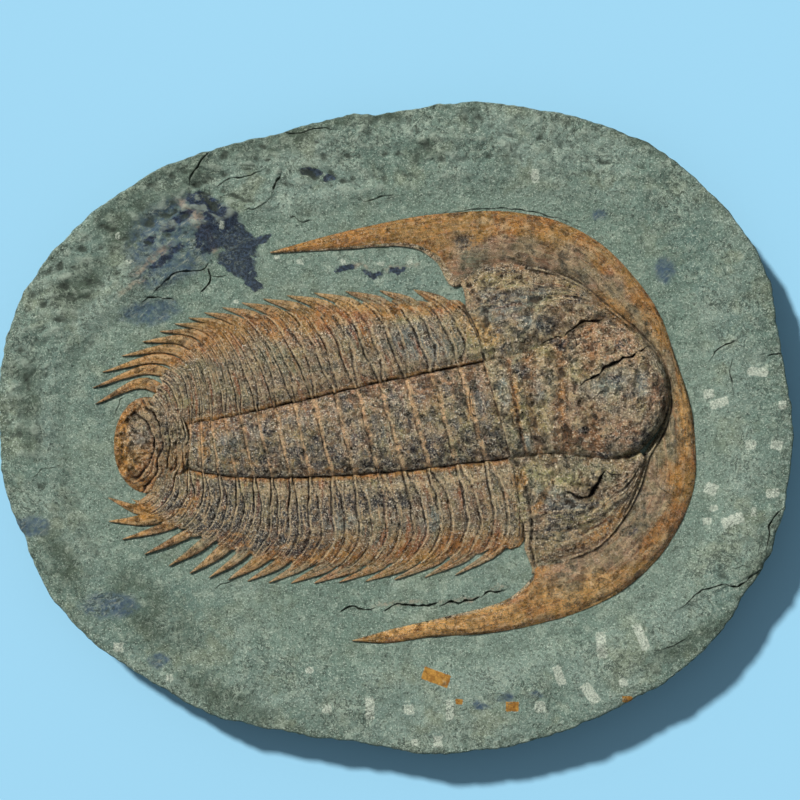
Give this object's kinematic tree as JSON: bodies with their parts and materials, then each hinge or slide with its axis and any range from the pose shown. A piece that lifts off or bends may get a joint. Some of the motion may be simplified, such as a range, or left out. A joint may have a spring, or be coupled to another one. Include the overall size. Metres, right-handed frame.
{
  "type": "fossil trilobite",
  "caption": "Large spiny trilobite fossil lying in relief in an oval trimmed slab of grey-green shale with a flat back.",
  "frame": {"origin": "middle of the bounding box, on the flat back of the slab", "axes": "+X along the length towards the head, +Y towards the animal's left side, +Z out of the fossil face"},
  "size_m": [0.398, 0.327, 0.0388],
  "materials": {
    "shale": "matt grey-green split shale with stains, cracks and pale chisel bruises",
    "fossil": "satin orange-brown and mottled brown mineral with fine pale crests"
  },
  "bodies": {
    "root": {"shale_slab": "shale", "trilobite": "fossil"}
  },
  "joints": []
}
